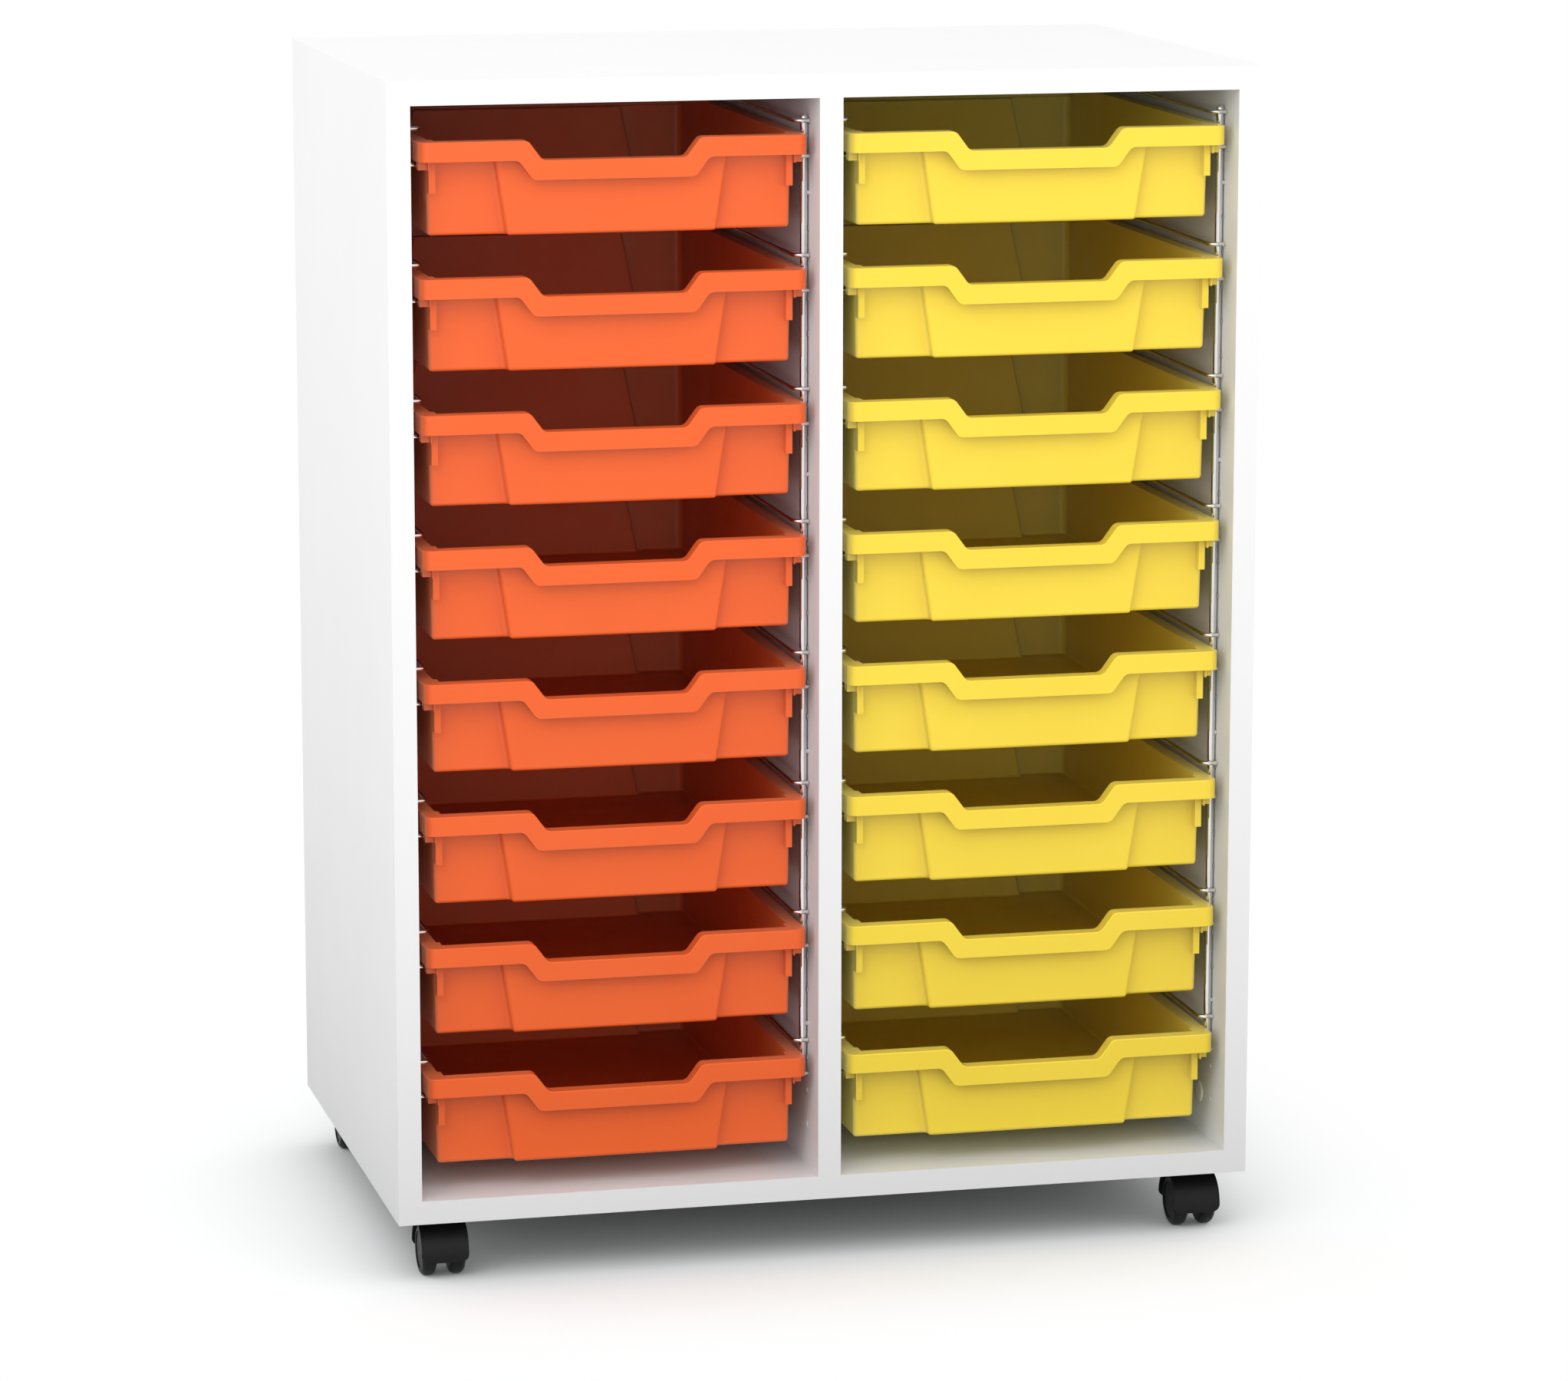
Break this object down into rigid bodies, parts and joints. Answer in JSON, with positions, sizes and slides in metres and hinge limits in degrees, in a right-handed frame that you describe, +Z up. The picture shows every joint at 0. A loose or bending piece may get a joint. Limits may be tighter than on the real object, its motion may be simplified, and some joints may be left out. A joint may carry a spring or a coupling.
{
  "type": "classroom tray storage unit",
  "caption": "Open-fronted mobile cabinet with two side-by-side bays of shallow lipped plastic trays that slide on wire runners, standing on twin-wheel castors.",
  "frame": {"origin": "on the floor under the middle of the cabinet's footprint", "axes": "+Z up; the open front with the tray handles faces -Y; +X to the right seen from the front"},
  "size_m": [0.711, 0.464, 0.965],
  "materials": {
    "white_board": "satin melamine",
    "white_edging": "satin",
    "beech": "bare",
    "fitting_steel": "zinc plated",
    "chrome_wire": "bright",
    "castor_plate_steel": "black",
    "castor_hood_plastic": "satin black",
    "castor_wheel_plastic": "satin black",
    "tray_orange": "semi-gloss",
    "tray_yellow": "semi-gloss"
  },
  "bodies": {
    "cabinet": {"bottom_panel": "white_board", "top_panel": "white_board", "left_side_panel": "white_board", "centre_divider": "white_board", "right_side_panel": "white_board", "back_panel": "white_board", "edge_lipping": "white_edging", "panel_dowels": "beech", "cam_discs": "fitting_steel", "cam_bolts": "fitting_steel", "runner_frame_left_bay_left": "chrome_wire", "runner_frame_left_bay_right": "chrome_wire", "runner_frame_right_bay_left": "chrome_wire", "runner_frame_right_bay_right": "chrome_wire", "castor_plates": "castor_plate_steel", "castor_kingpins": "fitting_steel", "castor_screws": "fitting_steel"},
    "tray_left_1": {"tray_left_1": "tray_orange"},
    "tray_left_2": {"tray_left_2": "tray_orange"},
    "tray_left_3": {"tray_left_3": "tray_orange"},
    "tray_left_4": {"tray_left_4": "tray_orange"},
    "tray_left_5": {"tray_left_5": "tray_orange"},
    "tray_left_6": {"tray_left_6": "tray_orange"},
    "tray_left_7": {"tray_left_7": "tray_orange"},
    "tray_left_8": {"tray_left_8": "tray_orange"},
    "tray_right_1": {"tray_right_1": "tray_yellow"},
    "tray_right_2": {"tray_right_2": "tray_yellow"},
    "tray_right_3": {"tray_right_3": "tray_yellow"},
    "tray_right_4": {"tray_right_4": "tray_yellow"},
    "tray_right_5": {"tray_right_5": "tray_yellow"},
    "tray_right_6": {"tray_right_6": "tray_yellow"},
    "tray_right_7": {"tray_right_7": "tray_yellow"},
    "tray_right_8": {"tray_right_8": "tray_yellow"},
    "castor_front_left_swivel": {"castor_front_left_hood": "castor_hood_plastic", "castor_front_left_axle": "fitting_steel"},
    "castor_front_left_wheel_a": {"castor_front_left_wheel_a": "castor_wheel_plastic"},
    "castor_front_left_wheel_b": {"castor_front_left_wheel_b": "castor_wheel_plastic"},
    "castor_front_right_swivel": {"castor_front_right_hood": "castor_hood_plastic", "castor_front_right_axle": "fitting_steel"},
    "castor_front_right_wheel_a": {"castor_front_right_wheel_a": "castor_wheel_plastic"},
    "castor_front_right_wheel_b": {"castor_front_right_wheel_b": "castor_wheel_plastic"},
    "castor_rear_left_swivel": {"castor_rear_left_hood": "castor_hood_plastic", "castor_rear_left_axle": "fitting_steel"},
    "castor_rear_left_wheel_a": {"castor_rear_left_wheel_a": "castor_wheel_plastic"},
    "castor_rear_left_wheel_b": {"castor_rear_left_wheel_b": "castor_wheel_plastic"},
    "castor_rear_right_swivel": {"castor_rear_right_hood": "castor_hood_plastic", "castor_rear_right_axle": "fitting_steel"},
    "castor_rear_right_wheel_a": {"castor_rear_right_wheel_a": "castor_wheel_plastic"},
    "castor_rear_right_wheel_b": {"castor_rear_right_wheel_b": "castor_wheel_plastic"}
  },
  "joints": [
    {"name": "tray_left_1_slide", "type": "slide", "parent": "cabinet", "child": "tray_left_1", "axis": [0, -1, 0], "range_m": [0, 0.34]},
    {"name": "tray_left_2_slide", "type": "slide", "parent": "cabinet", "child": "tray_left_2", "axis": [0, -1, 0], "range_m": [0, 0.34]},
    {"name": "tray_left_3_slide", "type": "slide", "parent": "cabinet", "child": "tray_left_3", "axis": [0, -1, 0], "range_m": [0, 0.34]},
    {"name": "tray_left_4_slide", "type": "slide", "parent": "cabinet", "child": "tray_left_4", "axis": [0, -1, 0], "range_m": [0, 0.34]},
    {"name": "tray_left_5_slide", "type": "slide", "parent": "cabinet", "child": "tray_left_5", "axis": [0, -1, 0], "range_m": [0, 0.34]},
    {"name": "tray_left_6_slide", "type": "slide", "parent": "cabinet", "child": "tray_left_6", "axis": [0, -1, 0], "range_m": [0, 0.34]},
    {"name": "tray_left_7_slide", "type": "slide", "parent": "cabinet", "child": "tray_left_7", "axis": [0, -1, 0], "range_m": [0, 0.34]},
    {"name": "tray_left_8_slide", "type": "slide", "parent": "cabinet", "child": "tray_left_8", "axis": [0, -1, 0], "range_m": [0, 0.34]},
    {"name": "tray_right_1_slide", "type": "slide", "parent": "cabinet", "child": "tray_right_1", "axis": [0, -1, 0], "range_m": [0, 0.34]},
    {"name": "tray_right_2_slide", "type": "slide", "parent": "cabinet", "child": "tray_right_2", "axis": [0, -1, 0], "range_m": [0, 0.34]},
    {"name": "tray_right_3_slide", "type": "slide", "parent": "cabinet", "child": "tray_right_3", "axis": [0, -1, 0], "range_m": [0, 0.34]},
    {"name": "tray_right_4_slide", "type": "slide", "parent": "cabinet", "child": "tray_right_4", "axis": [0, -1, 0], "range_m": [0, 0.34]},
    {"name": "tray_right_5_slide", "type": "slide", "parent": "cabinet", "child": "tray_right_5", "axis": [0, -1, 0], "range_m": [0, 0.34]},
    {"name": "tray_right_6_slide", "type": "slide", "parent": "cabinet", "child": "tray_right_6", "axis": [0, -1, 0], "range_m": [0, 0.34]},
    {"name": "tray_right_7_slide", "type": "slide", "parent": "cabinet", "child": "tray_right_7", "axis": [0, -1, 0], "range_m": [0, 0.34]},
    {"name": "tray_right_8_slide", "type": "slide", "parent": "cabinet", "child": "tray_right_8", "axis": [0, -1, 0], "range_m": [0, 0.34]},
    {"name": "castor_front_left_swivel_turn", "type": "hinge", "parent": "cabinet", "child": "castor_front_left_swivel", "pos_m": [-0.3167, -0.1894, 0.0475], "axis": [0, 0, 1], "continuous": true},
    {"name": "castor_front_left_wheel_a_roll", "type": "hinge", "parent": "castor_front_left_swivel", "child": "castor_front_left_wheel_a", "pos_m": [-0.3167, -0.2014, 0.021], "axis": [1, 0, 0], "continuous": true},
    {"name": "castor_front_left_wheel_b_roll", "type": "hinge", "parent": "castor_front_left_swivel", "child": "castor_front_left_wheel_b", "pos_m": [-0.3167, -0.2014, 0.021], "axis": [1, 0, 0], "continuous": true},
    {"name": "castor_front_right_swivel_turn", "type": "hinge", "parent": "cabinet", "child": "castor_front_right_swivel", "pos_m": [0.3167, -0.1894, 0.0475], "axis": [0, 0, 1], "continuous": true},
    {"name": "castor_front_right_wheel_a_roll", "type": "hinge", "parent": "castor_front_right_swivel", "child": "castor_front_right_wheel_a", "pos_m": [0.3167, -0.2014, 0.021], "axis": [1, 0, 0], "continuous": true},
    {"name": "castor_front_right_wheel_b_roll", "type": "hinge", "parent": "castor_front_right_swivel", "child": "castor_front_right_wheel_b", "pos_m": [0.3167, -0.2014, 0.021], "axis": [1, 0, 0], "continuous": true},
    {"name": "castor_rear_left_swivel_turn", "type": "hinge", "parent": "cabinet", "child": "castor_rear_left_swivel", "pos_m": [-0.3167, 0.1894, 0.0475], "axis": [0, 0, 1], "continuous": true},
    {"name": "castor_rear_left_wheel_a_roll", "type": "hinge", "parent": "castor_rear_left_swivel", "child": "castor_rear_left_wheel_a", "pos_m": [-0.3167, 0.2014, 0.021], "axis": [1, 0, 0], "continuous": true},
    {"name": "castor_rear_left_wheel_b_roll", "type": "hinge", "parent": "castor_rear_left_swivel", "child": "castor_rear_left_wheel_b", "pos_m": [-0.3167, 0.2014, 0.021], "axis": [1, 0, 0], "continuous": true},
    {"name": "castor_rear_right_swivel_turn", "type": "hinge", "parent": "cabinet", "child": "castor_rear_right_swivel", "pos_m": [0.3167, 0.1894, 0.0475], "axis": [0, 0, 1], "continuous": true},
    {"name": "castor_rear_right_wheel_a_roll", "type": "hinge", "parent": "castor_rear_right_swivel", "child": "castor_rear_right_wheel_a", "pos_m": [0.3167, 0.2014, 0.021], "axis": [1, 0, 0], "continuous": true},
    {"name": "castor_rear_right_wheel_b_roll", "type": "hinge", "parent": "castor_rear_right_swivel", "child": "castor_rear_right_wheel_b", "pos_m": [0.3167, 0.2014, 0.021], "axis": [1, 0, 0], "continuous": true}
  ]
}
